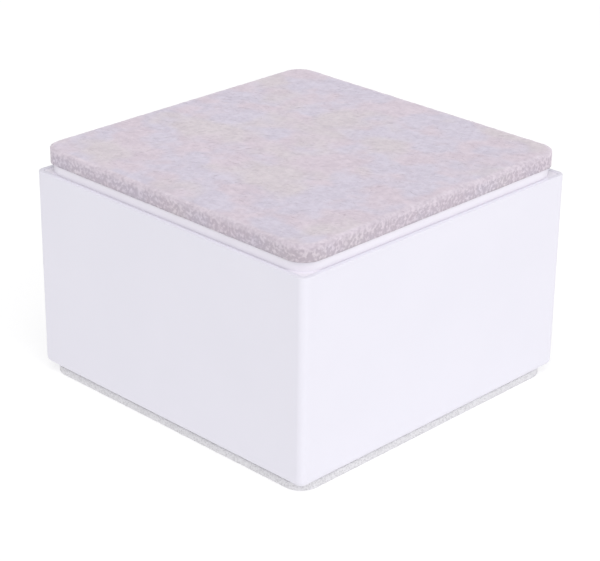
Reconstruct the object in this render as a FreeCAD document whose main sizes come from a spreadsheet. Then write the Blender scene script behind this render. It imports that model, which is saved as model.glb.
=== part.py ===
# Square bed riser: a white steel shell around a ribbed plastic core, with a felt pad on top for the
# furniture leg and a foam pad underneath for the floor.
# Millimetres, +Z up, walls square to X and Y, origin at the centre of the underside.
import FreeCAD, Part
import math
import os

import Sketcher

SIZES = {
    # Steel shell: a square box of coated sheet, open at the top.
    "shell_side": 76.2,
    "shell_height": 43.3,
    "sheet_thickness": 1.1,
    "corner_bend_radius": 0.5,  # inside the four upright edges
    "shell_base_radius": 1.5,  # the dressed edge round the floor
    "rim_radius": 0.2,  # the coated edges round the open top
    # Plastic core: a moulded block that fills the shell, hollowed from below by a grid of cells.
    "core_clearance": 0.08,  # between the core's sides and the shell's walls
    "core_wall": 2.4,
    "core_top_thickness": 3.6,
    "shoulder_drop": 0.1,  # the block's corners lie this far below the shell's rim
    "rib_thickness": 1.8,
    "cells_per_side": 8,
    "cell_draft": 0.4,  # degrees, so that the core leaves its mould
    # Seat: the top of the core, which stands out of the shell and carries the felt.
    "seat_rise": 2.0,  # above the shell's rim
    "seat_corner_radius": 5.0,
    # Grip ribs: upright beads on the core's sides that wedge it in the shell.
    "grip_rib_width": 2.0,
    "grip_rib_length": 28.0,
    "grip_rib_spacing": 44.0,
    # Felt pad.
    "felt_thickness": 3.5,
    "felt_overhang": 0.3,  # past the seat's edge
    "felt_corner_radius": 4.5,
    "felt_edge_radius": 0.7,
    # Base pad.
    "base_pad_thickness": 2.0,
    "base_pad_inset": 0.9,  # inside the shell's walls
    "base_pad_corner_radius": 4.4,
}

# Sizes and levels that follow from the ones above.
INNER_SIDE = "(sizes.shell_side - 2 * sizes.sheet_thickness)"
CORE_SIDE = f"({INNER_SIDE} - 2 * sizes.core_clearance)"
CORE_CORNER_RADIUS = "(sizes.corner_bend_radius - sizes.core_clearance)"
BLOCK_HEIGHT = "(sizes.shell_height - sizes.sheet_thickness - sizes.shoulder_drop)"
SEAT_HEIGHT = "(sizes.shoulder_drop + sizes.seat_rise)"
CELL_DEPTH = f"({BLOCK_HEIGHT} + {SEAT_HEIGHT} - sizes.core_top_thickness)"
CELL_FIELD = f"({CORE_SIDE} - 2 * sizes.core_wall + sizes.rib_thickness)"
CELL_PITCH = f"({CELL_FIELD} / sizes.cells_per_side)"
FIRST_CELL = f"(({CELL_PITCH} - {CELL_FIELD}) / 2)"
GRIP_RIB_ROOT = "(sizes.core_wall / 2)"
GRIP_RIB_DEPTH = f"({GRIP_RIB_ROOT} + sizes.core_clearance)"

doc = FreeCAD.newDocument("bed_riser")
sheet = doc.addObject("Spreadsheet::Sheet", "sizes")
for row_number, (alias, value) in enumerate(SIZES.items(), start=1):
    sheet.set(f"A{row_number}", str(value))
    sheet.setAlias(f"A{row_number}", alias)
doc.recompute()


def new_body(label, level):
    """A body that stands at a level above the riser's underside."""
    body = doc.addObject("PartDesign::Body", label)
    body.Label = label
    body.setExpression("Placement.Base.z", level)
    return body


def origin_feature(body, role):
    """One of the body's own planes or axes, such as XY_Plane."""
    return next(feature for feature in body.Origin.OriginFeatures if feature.Role == role)


def flat_sketch(body, name, level, x="0", y="0"):
    """An empty level sketch, with its own origin set off from the body's."""
    sketch = body.newObject("Sketcher::SketchObject", name)
    sketch.AttachmentSupport = [(origin_feature(body, "XY_Plane"), "")]
    sketch.MapMode = "FlatFace"
    for axis, offset in (("x", x), ("y", y), ("z", level)):
        sketch.setExpression(f"AttachmentOffset.Base.{axis}", offset)
    return sketch


def length_of(expression):
    """The length that an expression on the sheet gives."""
    return float(sheet.evalExpression(expression))


def bind(sketch, kind, places, name, expression):
    """Adds a size to a sketch and ties it to the sheet."""
    index = sketch.addConstraint(Sketcher.Constraint(kind, *places, length_of(expression)))
    sketch.renameConstraint(index, name)
    sketch.setExpression(f"Constraints.{name}", expression)


def centre_and_size(sketch, lines, width, depth):
    """Centres four lines, in the order bottom, right, top, left, on the sketch and sets their span."""
    bottom, right, top, left = lines
    sketch.addConstraint(Sketcher.Constraint("Horizontal", top))
    sketch.addConstraint(Sketcher.Constraint("Vertical", left))
    sketch.addConstraint(Sketcher.Constraint("Symmetric", bottom, 1, bottom, 2, -2))
    sketch.addConstraint(Sketcher.Constraint("Symmetric", right, 1, right, 2, -1))
    bind(sketch, "DistanceX", (left, 1, right, 1), "width", width)
    bind(sketch, "DistanceY", (bottom, 1, top, 1), "depth", depth)


def rounded_square(body, name, side, corner_radius, level="0"):
    """A sketch of a square with round corners, centred on the body's axis."""
    sketch = flat_sketch(body, name, level)
    half = length_of(side) / 2
    radius = length_of(corner_radius)
    straight = half - radius
    for turn in range(4):
        spin = FreeCAD.Rotation(FreeCAD.Vector(0, 0, 1), 90 * turn)
        start = spin.multVec(FreeCAD.Vector(-straight, -half, 0))
        end = spin.multVec(FreeCAD.Vector(straight, -half, 0))
        sketch.addGeometry(Part.LineSegment(start, end))
        middle = spin.multVec(FreeCAD.Vector(straight, -straight, 0))
        circle = Part.Circle(middle, FreeCAD.Vector(0, 0, 1), radius)
        angles = (math.radians(90 * (turn - 1)), math.radians(90 * turn))
        sketch.addGeometry(Part.ArcOfCircle(circle, *angles))
    edges = range(8)
    lines, corners = edges[0::2], edges[1::2]
    for edge in edges:
        following = (edge + 1) % len(edges)
        sketch.addConstraint(Sketcher.Constraint("Tangent", edge, 2, following, 1))
    for corner in corners[1:]:
        sketch.addConstraint(Sketcher.Constraint("Equal", corners[0], corner))
    centre_and_size(sketch, lines, side, side)
    bind(sketch, "Radius", (corners[0],), "corner", corner_radius)
    return sketch


def rectangle(body, name, width, depth, level, x, y):
    """A sketch of a rectangle centred on a point of the body."""
    sketch = flat_sketch(body, name, level, x, y)
    half_width, half_depth = length_of(width) / 2, length_of(depth) / 2
    corners = [
        FreeCAD.Vector(-half_width, -half_depth, 0),
        FreeCAD.Vector(half_width, -half_depth, 0),
        FreeCAD.Vector(half_width, half_depth, 0),
        FreeCAD.Vector(-half_width, half_depth, 0),
    ]
    lines = range(len(corners))
    for line in lines:
        following = (line + 1) % len(lines)
        sketch.addGeometry(Part.LineSegment(corners[line], corners[following]))
    for line in lines:
        following = (line + 1) % len(lines)
        sketch.addConstraint(Sketcher.Constraint("Coincident", line, 2, following, 1))
    centre_and_size(sketch, lines, width, depth)
    return sketch


def pad(body, sketch, height):
    """Raises a sketch into a solid."""
    feature = body.newObject("PartDesign::Pad", f"{sketch.Name}_pad")
    feature.Profile = sketch
    feature.setExpression("Length", height)
    doc.recompute()
    return feature


def pocket(body, sketch, height, draft="0"):
    """Cuts a sketch upwards out of the body, narrowing by a draft angle."""
    volume_before = body.Shape.Volume
    feature = body.newObject("PartDesign::Pocket", f"{sketch.Name}_pocket")
    feature.Profile = sketch
    feature.Reversed = True
    feature.setExpression("Length", height)
    feature.setExpression("TaperAngle", f"-{draft}")
    doc.recompute()
    if body.Shape.Volume >= volume_before:
        raise RuntimeError(f"{feature.Label} cut nothing")
    return feature


def flat_edges(feature, level):
    """Names of a feature's edges that lie flat at a level of its body."""
    names = []
    for number, edge in enumerate(feature.Shape.Edges, start=1):
        if all(abs(vertex.Z - level) < 1e-6 for vertex in edge.Vertexes):
            names.append(f"Edge{number}")
    return names


def round_edges(body, feature, name, level, radius):
    """A fillet along the flat edges at a level."""
    fillet = body.newObject("PartDesign::Fillet", name)
    fillet.Base = (feature, flat_edges(feature, level))
    fillet.setExpression("Radius", radius)
    doc.recompute()
    return fillet


def line_of(body, name, direction, pitch, count):
    """A row of copies, one pitch apart, as one step of a combined pattern."""
    pattern = body.newObject("PartDesign::LinearPattern", name)
    pattern.Direction = direction
    pattern.Mode = "Spacing"
    pattern.setExpression("Offset", pitch)
    pattern.setExpression("Occurrences", count)
    return pattern


def combined_pattern(body, name, feature, steps):
    """Repeats a feature by several pattern steps, one inside the other."""
    pattern = body.newObject("PartDesign::MultiTransform", name)
    pattern.Originals = [feature]
    pattern.Transformations = steps
    body.Tip = pattern
    doc.recompute()


def steel_shell():
    """Square box of one sheet thickness, open at the top, with its edges dressed round."""
    body = new_body("steel_shell", "sizes.base_pad_thickness")
    outer_radius = "sizes.corner_bend_radius + sizes.sheet_thickness"
    outside = rounded_square(body, "shell_outside", "sizes.shell_side", outer_radius)
    pad(body, outside, "sizes.shell_height")
    inside = rounded_square(
        body, "shell_inside", INNER_SIDE, "sizes.corner_bend_radius", level="sizes.sheet_thickness"
    )
    hollow = pocket(body, inside, "sizes.shell_height")
    based = round_edges(body, hollow, "shell_base", 0, "sizes.shell_base_radius")
    round_edges(body, based, "rim", sheet.shell_height, "sizes.rim_radius")
    return body


def add_grip_ribs(body):
    """Two beads on each side of the core, from inside its wall out to the shell's wall."""
    outline = rectangle(
        body,
        "grip_rib",
        width=GRIP_RIB_DEPTH,
        depth="sizes.grip_rib_width",
        level=f"({BLOCK_HEIGHT} - sizes.grip_rib_length) / 2",
        x=f"({INNER_SIDE} - {GRIP_RIB_DEPTH}) / 2",
        y="-sizes.grip_rib_spacing / 2",
    )
    rib = pad(body, outline, "sizes.grip_rib_length")
    pair = line_of(body, "grip_rib_pair", (outline, ["V_Axis"]), "sizes.grip_rib_spacing", "2")
    sides = body.newObject("PartDesign::PolarPattern", "grip_rib_sides")
    sides.Axis = (origin_feature(body, "Z_Axis"), [""])
    sides.Angle = 360
    sides.Occurrences = 4
    combined_pattern(body, "grip_ribs", rib, [pair, sides])


def add_cells(body):
    """Square cells that hollow the core from below and leave ribs between them."""
    cell_side = f"{CELL_PITCH} - sizes.rib_thickness"
    outline = rectangle(body, "cell", cell_side, cell_side, level="0", x=FIRST_CELL, y=FIRST_CELL)
    cell = pocket(body, outline, CELL_DEPTH, draft="sizes.cell_draft")
    across = line_of(body, "cell_row", (outline, ["H_Axis"]), CELL_PITCH, "sizes.cells_per_side")
    along = line_of(body, "cell_column", (outline, ["V_Axis"]), CELL_PITCH, "sizes.cells_per_side")
    combined_pattern(body, "cells", cell, [across, along])


def inner_core():
    """Moulded block on the shell's floor, with a raised seat on top and cells open below."""
    body = new_body("inner_core", "sizes.base_pad_thickness + sizes.sheet_thickness")
    block = rounded_square(body, "core_block", CORE_SIDE, CORE_CORNER_RADIUS)
    pad(body, block, BLOCK_HEIGHT)
    seat = rounded_square(body, "seat", CORE_SIDE, "sizes.seat_corner_radius", level=BLOCK_HEIGHT)
    pad(body, seat, SEAT_HEIGHT)
    add_grip_ribs(body)
    add_cells(body)
    return body


def felt_pad():
    """Cut square of thick felt on the seat, with a soft upper edge."""
    body = new_body("felt_pad", "sizes.base_pad_thickness + sizes.shell_height + sizes.seat_rise")
    felt_side = f"{CORE_SIDE} + 2 * sizes.felt_overhang"
    outline = rounded_square(body, "felt", felt_side, "sizes.felt_corner_radius")
    slab = pad(body, outline, "sizes.felt_thickness")
    round_edges(body, slab, "felt_edge", sheet.felt_thickness, "sizes.felt_edge_radius")
    return body


def base_pad():
    """Die-cut foam square that keeps the steel off the floor."""
    body = new_body("base_pad", "0")
    pad_side = "sizes.shell_side - 2 * sizes.base_pad_inset"
    outline = rounded_square(body, "base", pad_side, "sizes.base_pad_corner_radius")
    pad(body, outline, "sizes.base_pad_thickness")
    return body


pieces = [steel_shell(), inner_core(), felt_pad(), base_pad()]
doc.recompute()

failed = [item.Label for item in doc.Objects if {"Invalid", "Error"} & set(item.State)]
failed += [piece.Label for piece in pieces if piece.Shape.isNull() or not piece.Shape.isValid()]
if failed:
    raise RuntimeError(f"these didn't build: {', '.join(failed)}")

os.makedirs("parts", exist_ok=True)
for piece in pieces:
    piece.Shape.exportStep(f"parts/{piece.Label}.step")
    print(f"{piece.Label}: {piece.Shape.Volume:.1f} mm3")
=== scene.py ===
"""A square bed riser on a plain white studio floor.

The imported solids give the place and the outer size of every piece. The steel shell, the felt pad and the base
pad are modelled again here as finished meshes, and the moulded core keeps its solid and gets its finish.
Sizes are in metres, +Z is up, and the origin is the centre of the underside.
"""
import logging
import math
from collections.abc import Mapping, Sequence
from dataclasses import dataclass, field
from enum import Enum, IntEnum
from random import Random
from typing import Union

import bmesh
import bpy
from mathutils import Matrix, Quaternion, Vector, noise


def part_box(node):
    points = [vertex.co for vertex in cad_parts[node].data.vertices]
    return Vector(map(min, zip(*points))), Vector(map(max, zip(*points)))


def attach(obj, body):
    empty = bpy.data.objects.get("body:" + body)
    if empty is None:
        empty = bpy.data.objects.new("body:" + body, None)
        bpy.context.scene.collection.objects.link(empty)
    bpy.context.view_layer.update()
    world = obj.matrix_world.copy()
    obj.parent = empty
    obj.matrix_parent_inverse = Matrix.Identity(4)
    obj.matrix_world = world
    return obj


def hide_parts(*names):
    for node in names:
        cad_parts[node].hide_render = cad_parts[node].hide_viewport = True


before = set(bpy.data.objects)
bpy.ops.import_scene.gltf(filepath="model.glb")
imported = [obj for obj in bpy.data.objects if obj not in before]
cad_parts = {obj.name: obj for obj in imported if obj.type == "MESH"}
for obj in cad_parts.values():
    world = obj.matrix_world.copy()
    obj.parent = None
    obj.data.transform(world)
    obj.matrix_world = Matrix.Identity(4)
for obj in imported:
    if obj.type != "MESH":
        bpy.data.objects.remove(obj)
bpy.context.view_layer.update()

MM = 0.001
BODY = "root"
LEVEL_TOLERANCE = 0.001 * MM
WELD_DISTANCE = 0.001 * MM
SHARP_ANGLE = math.radians(45)
NOISE_MIDDLE = 0.5

Colour = tuple[float, float, float]
Span = tuple[float, float]
Operand = Union["Signal", float]
Setting = Union["Signal", float, Sequence[float]]

log = logging.getLogger("bed_riser")


class Node(Enum):
    """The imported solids."""

    SHELL = "steel_shell"
    CORE = "inner_core"
    FELT = "felt_pad"
    BASE = "base_pad"


class Slot(Enum):
    """The record's material slots for the pieces that are modelled here."""

    SHELL = "coated_steel"
    FELT = "felt"
    BASE = "foam"


class Facing(IntEnum):
    """Which way a pad's visible face looks."""

    UP = 1
    DOWN = -1


class Blend(Enum):
    """Ways to lay one colour over another."""

    MIX = "MIX"
    MULTIPLY = "MULTIPLY"


class MixSocket(IntEnum):
    """Places of a Mix node's colour sockets."""

    FACTOR = 0
    FIRST = 6
    SECOND = 7
    RESULT = 2


class Signal:
    """What a node gives out, for use in plain expressions on values."""

    def __init__(self, socket: bpy.types.NodeSocket) -> None:
        """Keeps the node's output socket."""
        self.socket = socket

    def _math(self, operation: str, first: Operand, second: Operand) -> "Signal":
        """Adds a Math node.

        Args:
            operation: What it does with its two operands.
            first: The operand before the sign.
            second: The operand after the sign.

        Returns:
            Its result.
        """
        math_node = self.socket.id_data.nodes.new("ShaderNodeMath")
        math_node.operation = operation
        connect(math_node.inputs[0], first)
        connect(math_node.inputs[1], second)
        return Signal(math_node.outputs[0])

    def __add__(self, other: Operand) -> "Signal":
        """This value plus another."""
        return self._math("ADD", self, other)

    def __radd__(self, other: float) -> "Signal":
        """A number plus this value."""
        return self._math("ADD", other, self)

    def __sub__(self, other: Operand) -> "Signal":
        """This value less another."""
        return self._math("SUBTRACT", self, other)

    def __rsub__(self, other: float) -> "Signal":
        """A number less this value."""
        return self._math("SUBTRACT", other, self)

    def __mul__(self, other: Operand) -> "Signal":
        """This value times another."""
        return self._math("MULTIPLY", self, other)

    def __rmul__(self, other: float) -> "Signal":
        """A number times this value."""
        return self._math("MULTIPLY", other, self)


def connect(entry: bpy.types.NodeSocket, setting: Setting) -> None:
    """Links a signal to a socket, or sets the socket to a number, colour or vector.

    Args:
        entry: The input socket.
        setting: What it gets. A colour of three numbers is made opaque.
    """
    if isinstance(setting, Signal):
        entry.id_data.links.new(setting.socket, entry)
    elif entry.type == "RGBA":
        entry.default_value = (*setting, 1.0)
    else:
        entry.default_value = setting


class Shader:
    """A material with one Principled surface and the nodes that feed it."""

    def __init__(self, name: str) -> None:
        """Starts a material that reads the piece's own coordinates.

        Args:
            name: The material's name.
        """
        self.material = bpy.data.materials.new(name)
        self.material.use_nodes = True
        self.tree = self.material.node_tree
        self.place = self.node("TexCoord", output="Object")

    def node(
        self,
        kind: str,
        settings: Mapping[str, object] | None = None,
        inputs: Mapping[str | int, Setting] | None = None,
        output: str | int = 0,
    ) -> Signal:
        """Adds one node.

        Args:
            kind: The node's type, without its ShaderNode prefix.
            settings: The node's own options, which are set first.
            inputs: Values or signals for its sockets, by name or place.
            output: The name or place of the socket that is returned.

        Returns:
            The node's output.
        """
        made = self.tree.nodes.new(f"ShaderNode{kind}")
        for option, choice in (settings or {}).items():
            setattr(made, option, choice)
        for entry, setting in (inputs or {}).items():
            connect(made.inputs[entry], setting)
        return Signal(made.outputs[output])

    def clouds(self, grain: float, detail: float = 2.0, place: Signal | None = None) -> Signal:
        """Soft noise around 0.5.

        Args:
            grain: The size of its patches.
            detail: How many finer layers it has.
            place: The coordinates that it reads, if not the piece's own.

        Returns:
            A value from about 0.2 to 0.8.
        """
        inputs = {"Vector": place or self.place, "Scale": 1 / grain, "Detail": detail}
        return self.node("TexNoise", inputs=inputs)

    def strands(self, length: float, width: float, heading: float) -> Signal:
        """Noise drawn out along one direction of the level plane.

        Args:
            length: The size of its patches along that direction.
            width: Their size across it.
            heading: The direction's angle from the X axis.

        Returns:
            A value from about 0.2 to 0.8.
        """
        turned = self.node("Mapping", inputs={"Vector": self.place, "Rotation": (0.0, 0.0, heading)})
        drawn = self.node("Mapping", inputs={"Vector": turned, "Scale": (width / length, 1.0, 1.0)})
        return self.clouds(width, place=drawn)

    def pores(self, spacing: float) -> Signal:
        """Distance from the middle of the nearest of many small cells, from 0 to about 0.8."""
        return self.node("TexVoronoi", inputs={"Vector": self.place, "Scale": 1 / spacing})

    def height(self) -> Signal:
        """The piece's own Z coordinate."""
        return self.node("SeparateXYZ", inputs={"Vector": self.place}, output="Z")

    def ramp(self, signal: Signal, span: Span) -> Signal:
        """Stretches a value so that the span's start becomes 0 and its end 1, with nothing beyond."""
        inputs = {"Value": signal, "From Min": span[0], "From Max": span[1]}
        return self.node("MapRange", {"interpolation_type": "SMOOTHSTEP"}, inputs)

    def mix(self, factor: Operand, first: Setting, second: Setting, blend: Blend = Blend.MIX) -> Signal:
        """Lays one colour over another.

        Args:
            factor: How much of the second colour counts, from 0 to 1.
            first: The colour below.
            second: The colour that is laid over it.
            blend: The way in which it is laid.

        Returns:
            The blended colour.
        """
        settings = {"data_type": "RGBA", "blend_type": blend.value}
        inputs = {MixSocket.FACTOR: factor, MixSocket.FIRST: first, MixSocket.SECOND: second}
        return self.node("Mix", settings, inputs, MixSocket.RESULT)

    def bump(self, relief: Signal, depth: float) -> Signal:
        """A surface direction that follows a relief of that depth."""
        return self.node("Bump", inputs={"Height": relief, "Distance": depth}, output="Normal")

    def surface(self, sockets: Mapping[str, Setting]) -> bpy.types.Material:
        """Finishes the material.

        Args:
            sockets: Values or signals for the Principled surface's sockets, by name.

        Returns:
            The material.
        """
        principled = self.tree.nodes["Principled BSDF"]
        for name, setting in sockets.items():
            connect(principled.inputs[name], setting)
        return self.material


@dataclass(frozen=True)
class PowderCoat:
    """White coating baked on steel: satin, with the faint orange peel of melted powder."""

    white: Colour = (0.80, 0.785, 0.865)
    thin_white: Colour = (0.79, 0.776, 0.856)
    roughness: float = 0.38
    peel_size: float = 0.9 * MM
    peel_depth: float = 0.006 * MM
    peel_gloss: float = 0.1
    build_up_size: float = 18 * MM
    build_up_span: Span = (0.3, 0.7)
    build_up_gloss: float = 0.12

    def material(self) -> bpy.types.Material:
        """Builds the coating.

        Returns:
            The material.
        """
        shader = Shader("powder_coat")
        peel = shader.clouds(self.peel_size, detail=1.0)
        build_up = shader.clouds(self.build_up_size)
        gloss = self.build_up_gloss * (build_up - NOISE_MIDDLE) + self.peel_gloss * (peel - NOISE_MIDDLE)
        return shader.surface({
            "Base Color": shader.mix(shader.ramp(build_up, self.build_up_span), self.thin_white, self.white),
            "Roughness": self.roughness + gloss,
            "Normal": shader.bump(peel, self.peel_depth),
        })


@dataclass(frozen=True)
class MouldedPlastic:
    """White moulded plastic with the fine matt grain of a spark-eroded mould."""

    white: Colour = (0.88, 0.85, 0.92)
    flow_white: Colour = (0.86, 0.83, 0.90)
    roughness: float = 0.5
    grain_size: float = 0.25 * MM
    grain_depth: float = 0.008 * MM
    grain_gloss: float = 0.2
    flow_size: float = 12 * MM
    flow_span: Span = (0.3, 0.7)

    def material(self) -> bpy.types.Material:
        """Builds the plastic.

        Returns:
            The material.
        """
        shader = Shader("moulded_plastic")
        grain = shader.clouds(self.grain_size)
        flow = shader.clouds(self.flow_size)
        return shader.surface({
            "Base Color": shader.mix(shader.ramp(flow, self.flow_span), self.flow_white, self.white),
            "Roughness": self.roughness + self.grain_gloss * (grain - NOISE_MIDDLE),
            "Normal": shader.bump(grain, self.grain_depth),
        })


@dataclass(frozen=True)
class PressedFelt:
    """Pale felt of mixed fibres, pressed into a dense mat."""

    lavender: Colour = (0.668, 0.624, 0.722)
    rose: Colour = (0.697, 0.612, 0.683)
    warm_grey: Colour = (0.689, 0.628, 0.665)
    # Paler colour of the loose fibres, also used as the painted highlight on the felt's rounded edge and side.
    pale_and_highlight: Colour = (0.76, 0.69, 0.755)
    shade: Colour = (0.74, 0.72, 0.75)
    rose_size: float = 9 * MM
    rose_span: Span = (0.42, 0.6)
    grey_size: float = 15.3 * MM
    grey_span: Span = (0.5, 0.66)
    headings: tuple[float, ...] = (0.3, 1.1, 1.9, 2.7)
    tuft_length: float = 5 * MM
    tuft_width: float = 0.9 * MM
    tuft_span: Span = (0.41, 0.59)
    tuft_shade: float = 0.34
    strand_length: float = 1.6 * MM
    strand_width: float = 0.22 * MM
    strand_span: Span = (0.34, 0.66)
    strand_shade: float = 0.14
    clump_size: float = 0.7 * MM
    clump_span: Span = (0.35, 0.65)
    clump_relief: float = 0.5
    relief_depth: float = 0.025 * MM
    soft_edge_span: Span = (0.1, 0.4)
    cut_side_span: Span = (0.6, 4.0)
    face_speckle: float = 0.14
    edge_speckle: float = 0.25
    side_speckle_and_shade: float = 0.8
    side_highlight_fade: float = 0.5
    fibre_pale_and_highlight_share: float = 0.8

    def strand_field(self, shader: Shader, length: float, width: float, span: Span) -> Signal:
        """Strands of one size laid across each other, from 0 in the gaps to 1 on their tops."""
        fields = [shader.strands(length, width, heading) for heading in self.headings]
        return shader.ramp(sum(fields[1:], start=fields[0]) * (1 / len(fields)), span)

    @staticmethod
    def levels_below(face_level: float, edge_drop: float, span: Span) -> Span:
        """The levels that lie a span of edge drops below the face."""
        return face_level - span[0] * edge_drop, face_level - span[1] * edge_drop

    def material(self, face_level: float, edge_drop: float) -> bpy.types.Material:
        """Builds the felt.

        Args:
            face_level: The level of the felt's pressed face.
            edge_drop: How far its rounded edge drops below that face.

        Returns:
            The material.
        """
        shader = Shader("pressed_felt")
        fibre = shader.node("Attribute", {"attribute_name": FeltPad.TINT}, output="Fac")
        strands = self.strand_field(shader, self.strand_length, self.strand_width, self.strand_span)
        tufts = self.strand_field(shader, self.tuft_length, self.tuft_width, self.tuft_span)
        clumps = shader.ramp(shader.clouds(self.clump_size, detail=3.0), self.clump_span)
        rose_patches = shader.ramp(shader.clouds(self.rose_size), self.rose_span)
        grey_patches = shader.ramp(shader.clouds(self.grey_size), self.grey_span)
        level = shader.height()
        soft_edge = shader.ramp(level, self.levels_below(face_level, edge_drop, self.soft_edge_span))
        cut_side = shader.ramp(level, self.levels_below(face_level, edge_drop, self.cut_side_span))
        patches = shader.mix(grey_patches, shader.mix(rose_patches, self.lavender, self.rose), self.warm_grey)
        # Painted highlight: the rounded top edge and the side below it are mixed towards the pale colour, half
        # as much down the cut side. Each loose fibre gets a random share, partly real paler fibres and partly
        # standing in for light scattered through them.
        pale_and_highlight_share = self.fibre_pale_and_highlight_share * fibre + soft_edge * (1 - self.side_highlight_fade * cut_side)
        felt_with_highlight = shader.mix(pale_and_highlight_share, patches, self.pale_and_highlight)
        # Painted shade: the felt is darkened in the gaps between strands and between clumps, and more strongly
        # on the cut side, growing darker downwards. The clump speckle on the cut side is partly its own
        # texture, and the tufts add patches of darker tone.
        speckle_and_shade = self.face_speckle + self.edge_speckle * soft_edge + self.side_speckle_and_shade * cut_side
        depth = self.strand_shade * (1 - strands) + self.tuft_shade * (1 - tufts) + speckle_and_shade * (1 - clumps)
        relief = strands + clumps * (self.clump_relief + soft_edge + cut_side)
        return shader.surface({
            "Base Color": shader.mix(depth, felt_with_highlight, shader.mix(1.0, felt_with_highlight, self.shade, Blend.MULTIPLY)),
            "Roughness": 0.95,
            "Diffuse Roughness": 1.0,
            "Specular IOR Level": 0.15,
            "Sheen Weight": 0.25,
            "Sheen Roughness": 0.6,
            "Normal": shader.bump(relief, self.relief_depth),
        })


@dataclass(frozen=True)
class ClosedCellFoam:
    """White closed-cell foam sheet, cut through its small cells."""

    skin: Colour = (0.78, 0.77, 0.80)
    cell_shade: Colour = (0.62, 0.61, 0.64)
    cell_size: float = 0.42 * MM
    cell_span: Span = (0.1, 0.6)
    cell_depth: float = 0.09 * MM
    least_skin: float = 0.3
    wall_skin: float = 0.7
    patch_size: float = 6 * MM
    patch_skin: float = 0.6
    roughness: float = 0.85
    patch_gloss: float = 0.2

    def material(self) -> bpy.types.Material:
        """Builds the foam.

        Returns:
            The material.
        """
        shader = Shader("closed_cell_foam")
        wall = shader.ramp(shader.pores(self.cell_size), self.cell_span)
        patch = shader.clouds(self.patch_size) - NOISE_MIDDLE
        # Painted shade: the hollows of the cut cells are darker, by a share that varies in patches.
        skin = self.least_skin + wall * (self.wall_skin + self.patch_skin * patch)
        return shader.surface({
            "Base Color": shader.mix(skin, self.cell_shade, self.skin),
            "Roughness": self.roughness + self.patch_gloss * patch,
            "Specular IOR Level": 0.25,
            "Normal": shader.bump(wall, self.cell_depth),
        })


@dataclass(frozen=True)
class StudioWhite:
    """Matt white floor that glows a little, so that shadows stay faint."""

    white: Colour = (0.50, 0.50, 0.50)
    glow: float = 0.58

    def material(self) -> bpy.types.Material:
        """Builds the floor's surface.

        Returns:
            The material.
        """
        return Shader("studio_white").surface({
            "Base Color": self.white,
            "Roughness": 1.0,
            "Specular IOR Level": 0.0,
            "Emission Color": (1.0, 1.0, 1.0),
            "Emission Strength": self.glow,
        })


def sharp_edges(shape: bmesh.types.BMesh, level: float) -> list[bmesh.types.BMEdge]:
    """Finds the sharp edges that lie flat at a level.

    Args:
        shape: The mesh.
        level: Their level.

    Returns:
        The edges.
    """
    shape.normal_update()
    return [
        edge
        for edge in shape.edges
        if all(abs(vertex.co.z - level) < LEVEL_TOLERANCE for vertex in edge.verts)
        and edge.calc_face_angle() > SHARP_ANGLE
    ]


def round_off(
    shape: bmesh.types.BMesh, edges: Sequence[bmesh.types.BMEdge], radius: float, segments: int
) -> None:
    """Rounds edges.

    Args:
        shape: The mesh.
        edges: Its edges that are rounded.
        radius: The radius of a square edge's rounding.
        segments: How many faces the rounding has.
    """
    bmesh.ops.bevel(
        shape, geom=edges, offset=radius, segments=segments, profile=0.5, affect="EDGES", material=-1
    )


def held_within(plan: Vector, limit: float) -> Vector:
    """The place nearest to a point of the plan in a square of that half side."""
    return Vector((max(-limit, min(plan.x, limit)), max(-limit, min(plan.y, limit)), 0))


def as_object(name: str, shape: bmesh.types.BMesh) -> bpy.types.Object:
    """Turns a finished shape into an object at the origin, shaded smooth.

    Args:
        name: The piece's name.
        shape: The mesh, which is freed.

    Returns:
        The new object.
    """
    mesh = bpy.data.meshes.new(name)
    shape.to_mesh(mesh)
    shape.free()
    mesh.shade_smooth()
    piece = bpy.data.objects.new(name, mesh)
    bpy.context.scene.collection.objects.link(piece)
    return piece


def stand_for(piece: bpy.types.Object, node: Node) -> None:
    """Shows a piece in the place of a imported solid.

    Args:
        piece: The finished piece.
        node: The solid that it stands for.
    """
    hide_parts(node.value)
    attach(piece, BODY)


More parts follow.
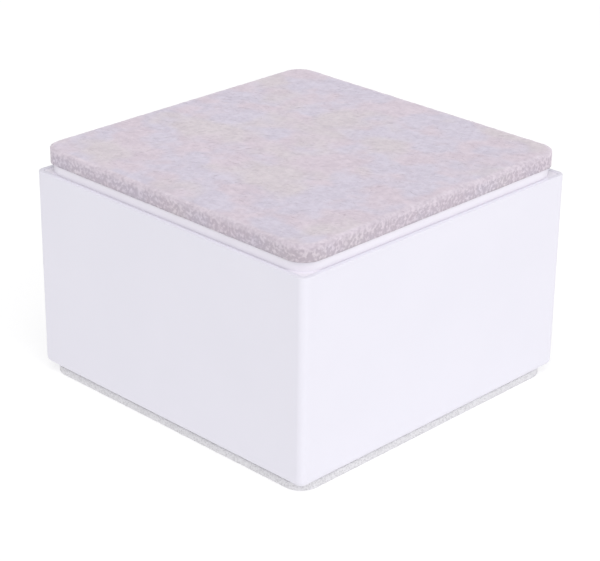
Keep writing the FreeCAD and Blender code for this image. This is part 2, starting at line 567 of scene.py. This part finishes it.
@dataclass
class SteelShell:
    """Square box of sheet steel, open at the top, with its edges dressed round under the coating."""

    sheet: float = 1.1 * MM
    corner_radius: float = 1.6 * MM
    base_radius: float = 1.5 * MM
    rim_radius: float = 0.2 * MM
    corner_segments: int = 10
    rim_segments: int = 4
    finish: PowderCoat = field(default_factory=PowderCoat)

    def build(self) -> bpy.types.Object:
        """Models the shell in its place.

        Returns:
            The shell.
        """
        low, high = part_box(Node.SHELL.value)
        shape = bmesh.new()
        bmesh.ops.create_cube(shape, size=1.0)
        bmesh.ops.scale(shape, vec=high - low, verts=shape.verts)
        bmesh.ops.translate(shape, vec=(low + high) / 2, verts=shape.verts)
        flat = {*sharp_edges(shape, low.z), *sharp_edges(shape, high.z)}
        upright = [edge for edge in shape.edges if edge not in flat]
        round_off(shape, upright, self.corner_radius, self.corner_segments)
        self.hollow_out(shape, high.z - low.z)
        round_off(shape, sharp_edges(shape, low.z), self.base_radius, self.corner_segments)
        round_off(shape, sharp_edges(shape, high.z), self.rim_radius, self.rim_segments)
        return as_object("shell_body", shape)

    def hollow_out(self, shape: bmesh.types.BMesh, height: float) -> None:
        """Sinks the top face down to the shell's floor and leaves a wall all round.

        Args:
            shape: The closed box.
            height: Its height.
        """
        shape.normal_update()
        top = max(shape.faces, key=lambda face: face.normal.z)
        bmesh.ops.inset_region(shape, faces=[top], thickness=self.sheet, use_even_offset=True)
        sunk = bmesh.ops.extrude_face_region(shape, geom=[top])["geom"]
        floor_corners = [item for item in sunk if isinstance(item, bmesh.types.BMVert)]
        bmesh.ops.translate(shape, vec=(0, 0, self.sheet - height), verts=floor_corners)
        bmesh.ops.delete(shape, geom=[top], context="FACES_ONLY")

    def dress(self, piece: bpy.types.Object) -> None:
        """Coats the shell and keeps its flat faces flat in the light.

        Args:
            piece: The modelled shell.
        """
        piece.data.materials.append(self.finish.material())
        piece.modifiers.new("flat_faces", "WEIGHTED_NORMAL")
        stand_for(piece, Node.SHELL)


@dataclass
class InnerCore:
    """The moulded core, whose seat stands out of the shell. Its solid is shown as it is."""

    finish: MouldedPlastic = field(default_factory=MouldedPlastic)

    def dress(self) -> bpy.types.Object:
        """Gives the core its finish.

        Returns:
            The core.
        """
        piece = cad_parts[Node.CORE.value]
        piece.data.materials[0] = self.finish.material()
        return piece


@dataclass
class SoftPad:
    """A square of soft sheet with round corners, modelled as one grid that is laid over the pad's edge."""

    WAVE_DECAY = 0.7
    WAVE_RATIO = 2.0
    WAVE_LAYERS = 3

    node: Node
    slot: Slot
    facing: Facing
    corner_radius: float
    edge_run: float
    edge_drop: float
    cell: float
    wave_size: float
    wave_depth: float

    def __post_init__(self) -> None:
        """Takes the pad's place and size from its solid, and works out the flat sheet that covers it."""
        low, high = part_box(self.node.value)
        self.thickness = high.z - low.z
        self.straight = (high.x - low.x) / 2 - self.corner_radius
        self.flat_corner = self.corner_radius - self.edge_run
        self.face_level, self.back_level = (high.z, low.z) if self.facing is Facing.UP else (low.z, high.z)
        # Close to a quarter of the rim of an ellipse that has the run and the drop as its half axes.
        self.bend_length = math.hypot(self.edge_run, self.edge_drop) * math.pi / math.sqrt(8)
        self.sheet_corner = self.flat_corner + self.bend_length + self.thickness - self.edge_drop
        self.sheet_half = self.straight + self.sheet_corner

    def round_corner(self, plan: Vector) -> Vector:
        """Squeezes each corner of the square sheet into a quarter disc and leaves the rest.

        Args:
            plan: A point of the square sheet.

        Returns:
            Its place on the sheet with round corners.
        """
        across = (abs(plan.x) - self.straight) / self.sheet_corner
        along = (abs(plan.y) - self.straight) / self.sheet_corner
        if across <= 0 or along <= 0:
            return plan.copy()
        x = self.straight + self.sheet_corner * across * math.sqrt(1 - along**2 / 2)
        y = self.straight + self.sheet_corner * along * math.sqrt(1 - across**2 / 2)
        return Vector((math.copysign(x, plan.x), math.copysign(y, plan.y), 0))

    def lay(self, plan: Vector, lift: float = 0.0) -> Vector:
        """Lays a point of the sheet on the pad: over its face, round its edge and along its side.

        Args:
            plan: A point of the sheet with round corners.
            lift: Its height above the pad's uneven surface.

        Returns:
            The point in its place.
        """
        middle = held_within(plan, self.straight)
        outward = plan - middle
        distance = outward.length
        outward.normalize()
        past_face = max(distance - self.flat_corner, 0.0)
        turn = min(past_face / self.bend_length, 1.0) * math.pi / 2
        reach = min(distance, self.flat_corner) + self.edge_run * math.sin(turn)
        depth = self.edge_drop * (1 - math.cos(turn)) + max(past_face - self.bend_length, 0.0)
        point = middle + outward * reach + Vector((0, 0, self.face_level - self.facing * depth))
        normal = outward * self.edge_drop * math.sin(turn)
        normal.z = self.facing * self.edge_run * math.cos(turn)
        wave = noise.fractal(point / self.wave_size, self.WAVE_DECAY, self.WAVE_RATIO, self.WAVE_LAYERS)
        dip = self.wave_depth * (1 - min(wave, 1.0))
        return point + normal.normalized() * (lift - dip)

    def sheet_shape(self) -> bmesh.types.BMesh:
        """Models the pad: the laid sheet, closed at its hidden back, with its faces outwards.

        Returns:
            The mesh.
        """
        shape = bmesh.new()
        count = round(2 * self.sheet_half / self.cell)
        bmesh.ops.create_grid(shape, x_segments=count, y_segments=count, size=self.sheet_half)
        for vertex in shape.verts:
            vertex.co = self.lay(self.round_corner(vertex.co))
        border = [edge for edge in shape.edges if edge.is_boundary]
        for vertex in {vertex for edge in border for vertex in edge.verts}:
            vertex.co.z = self.back_level
        bmesh.ops.holes_fill(shape, edges=border, sides=len(border))
        if self.facing is Facing.DOWN:
            bmesh.ops.reverse_faces(shape, faces=shape.faces)
        return shape


@dataclass
class FeltPad(SoftPad):
    """The felt that carries the furniture leg, with loose fibres on its face and sides."""

    TINT = "tint"

    node: Node = Node.FELT
    slot: Slot = Slot.FELT
    facing: Facing = Facing.UP
    corner_radius: float = 4.5 * MM
    edge_run: float = 2.0 * MM
    edge_drop: float = 0.5 * MM
    cell: float = 0.5 * MM
    wave_size: float = 1.6 * MM
    wave_depth: float = 0.03 * MM
    fibre_count: int = 3900
    fibre_points: int = 5
    fibre_radius: float = 0.025 * MM
    fibre_tip: float = 0.4
    fibre_tints: Span = (0.2, 1.0)
    fibre_lengths: Span = (1.0 * MM, 4.0 * MM)
    fibre_curl: float = 0.5
    fibre_arch: float = 0.014 * MM
    fibre_bedding: float = 0.012 * MM
    stray_share: float = 0.08
    stray_rise: float = 0.06 * MM
    seed: int = 11
    finish: PressedFelt = field(default_factory=PressedFelt)

    def fibre_path(self, draw: Random) -> list[Vector]:
        """The points of one fibre, which lies on the felt in a gentle curve.

        Args:
            draw: The source of chance.

        Returns:
            Its points. A stray fibre's last end stands up.
        """
        limit = self.straight + self.flat_corner + self.bend_length
        plan = Vector((draw.uniform(-limit, limit), draw.uniform(-limit, limit), 0))
        heading = draw.uniform(0, 2 * math.pi)
        curl = draw.gauss(0, self.fibre_curl)
        step = draw.uniform(*self.fibre_lengths) / (self.fibre_points - 1)
        stray = draw.random() < self.stray_share
        path = []
        for number in range(self.fibre_points):
            share = number / (self.fibre_points - 1)
            lift = self.fibre_arch * math.sin(math.pi * share) - self.fibre_bedding
            if stray:
                lift += self.stray_rise * share**3
            path.append(self.lay(self.round_corner(held_within(plan, limit)), lift))
            plan += step * Vector((math.cos(heading), math.sin(heading), 0))
            heading += curl
        return path

    def fibre_mesh(self, draw: Random) -> bpy.types.Mesh:
        """Models the loose fibres as thin tubes that narrow at their ends.

        Args:
            draw: The source of chance.

        Returns:
            One mesh, in which every fibre has as many points and one follows another.
        """
        curve = bpy.data.curves.new("fibres", "CURVE")
        curve.dimensions = "3D"
        curve.bevel_depth = self.fibre_radius
        curve.bevel_resolution = 0
        curve.use_fill_caps = True
        for _ in range(self.fibre_count):
            path = self.fibre_path(draw)
            spline = curve.splines.new("POLY")
            spline.points.add(len(path) - 1)
            for number, (knot, place) in enumerate(zip(spline.points, path)):
                knot.co = (*place, 1.0)
                knot.radius = self.fibre_tip if number in (0, len(path) - 1) else 1.0
        holder = bpy.data.objects.new("fibres", curve)
        mesh = bpy.data.meshes.new_from_object(holder)
        bpy.data.objects.remove(holder)
        bpy.data.curves.remove(curve)
        return mesh

    def add_fibres(self, shape: bmesh.types.BMesh) -> None:
        """Adds the loose fibres to the mat, each with its own tint, and welds their ends shut.

        Args:
            shape: The mat's mesh.
        """
        draw = Random(self.seed)
        mat_points = len(shape.verts)
        fibres = self.fibre_mesh(draw)
        points_each = len(fibres.vertices) // self.fibre_count
        shape.from_mesh(fibres)
        bpy.data.meshes.remove(fibres)
        # A fibre's tint is its share of the pale colour and painted highlight.
        tint = shape.verts.layers.float.new(self.TINT)
        fibre_points = list(shape.verts)[mat_points:]
        for start in range(0, len(fibre_points), points_each):
            fibre_tint = draw.uniform(*self.fibre_tints)
            for vertex in fibre_points[start:start + points_each]:
                vertex[tint] = fibre_tint
        bmesh.ops.remove_doubles(shape, verts=fibre_points, dist=WELD_DISTANCE)

    def build(self) -> bpy.types.Object:
        """Models the felt in its place.

        Returns:
            The felt.
        """
        shape = self.sheet_shape()
        self.add_fibres(shape)
        return as_object("felt_mat", shape)

    def dress(self, piece: bpy.types.Object) -> None:
        """Gives the felt its colours and puts it on the seat.

        Args:
            piece: The modelled felt.
        """
        piece.data.materials.append(self.finish.material(self.face_level, self.edge_drop))
        stand_for(piece, self.node)


@dataclass
class BasePad(SoftPad):
    """The foam that keeps the steel off the floor."""

    node: Node = Node.BASE
    slot: Slot = Slot.BASE
    facing: Facing = Facing.DOWN
    corner_radius: float = 4.4 * MM
    edge_run: float = 0.5 * MM
    edge_drop: float = 0.5 * MM
    cell: float = 0.5 * MM
    wave_size: float = 2.5 * MM
    wave_depth: float = 0.03 * MM
    finish: ClosedCellFoam = field(default_factory=ClosedCellFoam)

    def build(self) -> bpy.types.Object:
        """Models the foam in its place."""
        return as_object("foam_pad", self.sheet_shape())

    def dress(self, piece: bpy.types.Object) -> None:
        """Gives the foam its cells and puts it under the shell.

        Args:
            piece: The modelled foam.
        """
        piece.data.materials.append(self.finish.material())
        stand_for(piece, self.node)


@dataclass(frozen=True)
class SoftLight:
    """A square panel that shines at the riser from a direction."""

    name: str
    direction: tuple[float, float, float]
    power: float
    size: float = 1.6
    distance: float = 2.0

    def hang(self) -> None:
        """Adds the panel to the scene."""
        lamp = bpy.data.lights.new(self.name, "AREA")
        lamp.size = self.size
        lamp.energy = self.power
        panel = bpy.data.objects.new(self.name, lamp)
        direction = Vector(self.direction).normalized()
        panel.location = direction * self.distance
        panel.rotation_euler = direction.to_track_quat("Z", "Y").to_euler()
        bpy.context.scene.collection.objects.link(panel)


@dataclass
class Studio:
    """White floor, even light, soft lights from the right and from high in front, and the camera."""

    floor_half: float = 4.0
    sky: float = 0.55
    lights: tuple[SoftLight, ...] = (
        SoftLight("key", (0.88, 0.12, 0.46), power=7.6),
        SoftLight("front", (0.45, -0.45, 1.0), power=18.4),
    )
    azimuth: float = math.radians(44.26)
    elevation: float = math.radians(24.22)
    roll: float = math.radians(0.66)
    distance: float = 411.6 * MM
    aim_level: float = 21.0 * MM
    lens: float = 118.6
    nearest_view: float = 10 * MM
    finish: StudioWhite = field(default_factory=StudioWhite)

    def build(self) -> None:
        """Sets up the whole studio."""
        self.lay_floor()
        self.light()
        self.set_camera()

    def lay_floor(self) -> None:
        """Lays the floor under the riser."""
        shape = bmesh.new()
        bmesh.ops.create_grid(shape, x_segments=1, y_segments=1, size=self.floor_half)
        floor = as_object("floor", shape)
        floor.data.materials.append(self.finish.material())

    def light(self) -> None:
        """Adds the even light and the panels."""
        scene = bpy.context.scene
        scene.view_settings.view_transform = "Standard"
        scene.world = bpy.data.worlds.new("even_light")
        scene.world.use_nodes = True
        background = scene.world.node_tree.nodes["Background"]
        background.inputs["Color"].default_value = (1.0, 1.0, 1.0, 1.0)
        background.inputs["Strength"].default_value = self.sky
        for panel in self.lights:
            panel.hang()

    def set_camera(self) -> None:
        """Puts the camera at the photograph's angle and distance."""
        aside = math.sin(self.azimuth) * math.cos(self.elevation)
        forward = math.cos(self.azimuth) * math.cos(self.elevation)
        back = Vector((aside, -forward, math.sin(self.elevation)))
        camera = bpy.data.objects.new("camera", bpy.data.cameras.new("camera"))
        camera.data.lens = self.lens
        camera.data.clip_start = self.nearest_view
        camera.location = Vector((0, 0, self.aim_level)) + back * self.distance
        level_turn = back.to_track_quat("Z", "Y")
        camera.rotation_euler = (level_turn @ Quaternion((0, 0, 1), self.roll)).to_euler()
        bpy.context.scene.collection.objects.link(camera)
        bpy.context.scene.camera = camera


def main() -> None:
    """Builds and dresses each piece, then the studio around them."""
    logging.basicConfig(level=logging.INFO, format="%(name)s: %(message)s")
    for part in (SteelShell(), FeltPad(), BasePad()):
        piece = part.build()
        part.dress(piece)
        log.info("%s: %d faces", piece.name, len(piece.data.polygons))
    log.info("%s: finished as it was packed", InnerCore().dress().name)
    Studio().build()


if __name__ == "__main__":
    main()
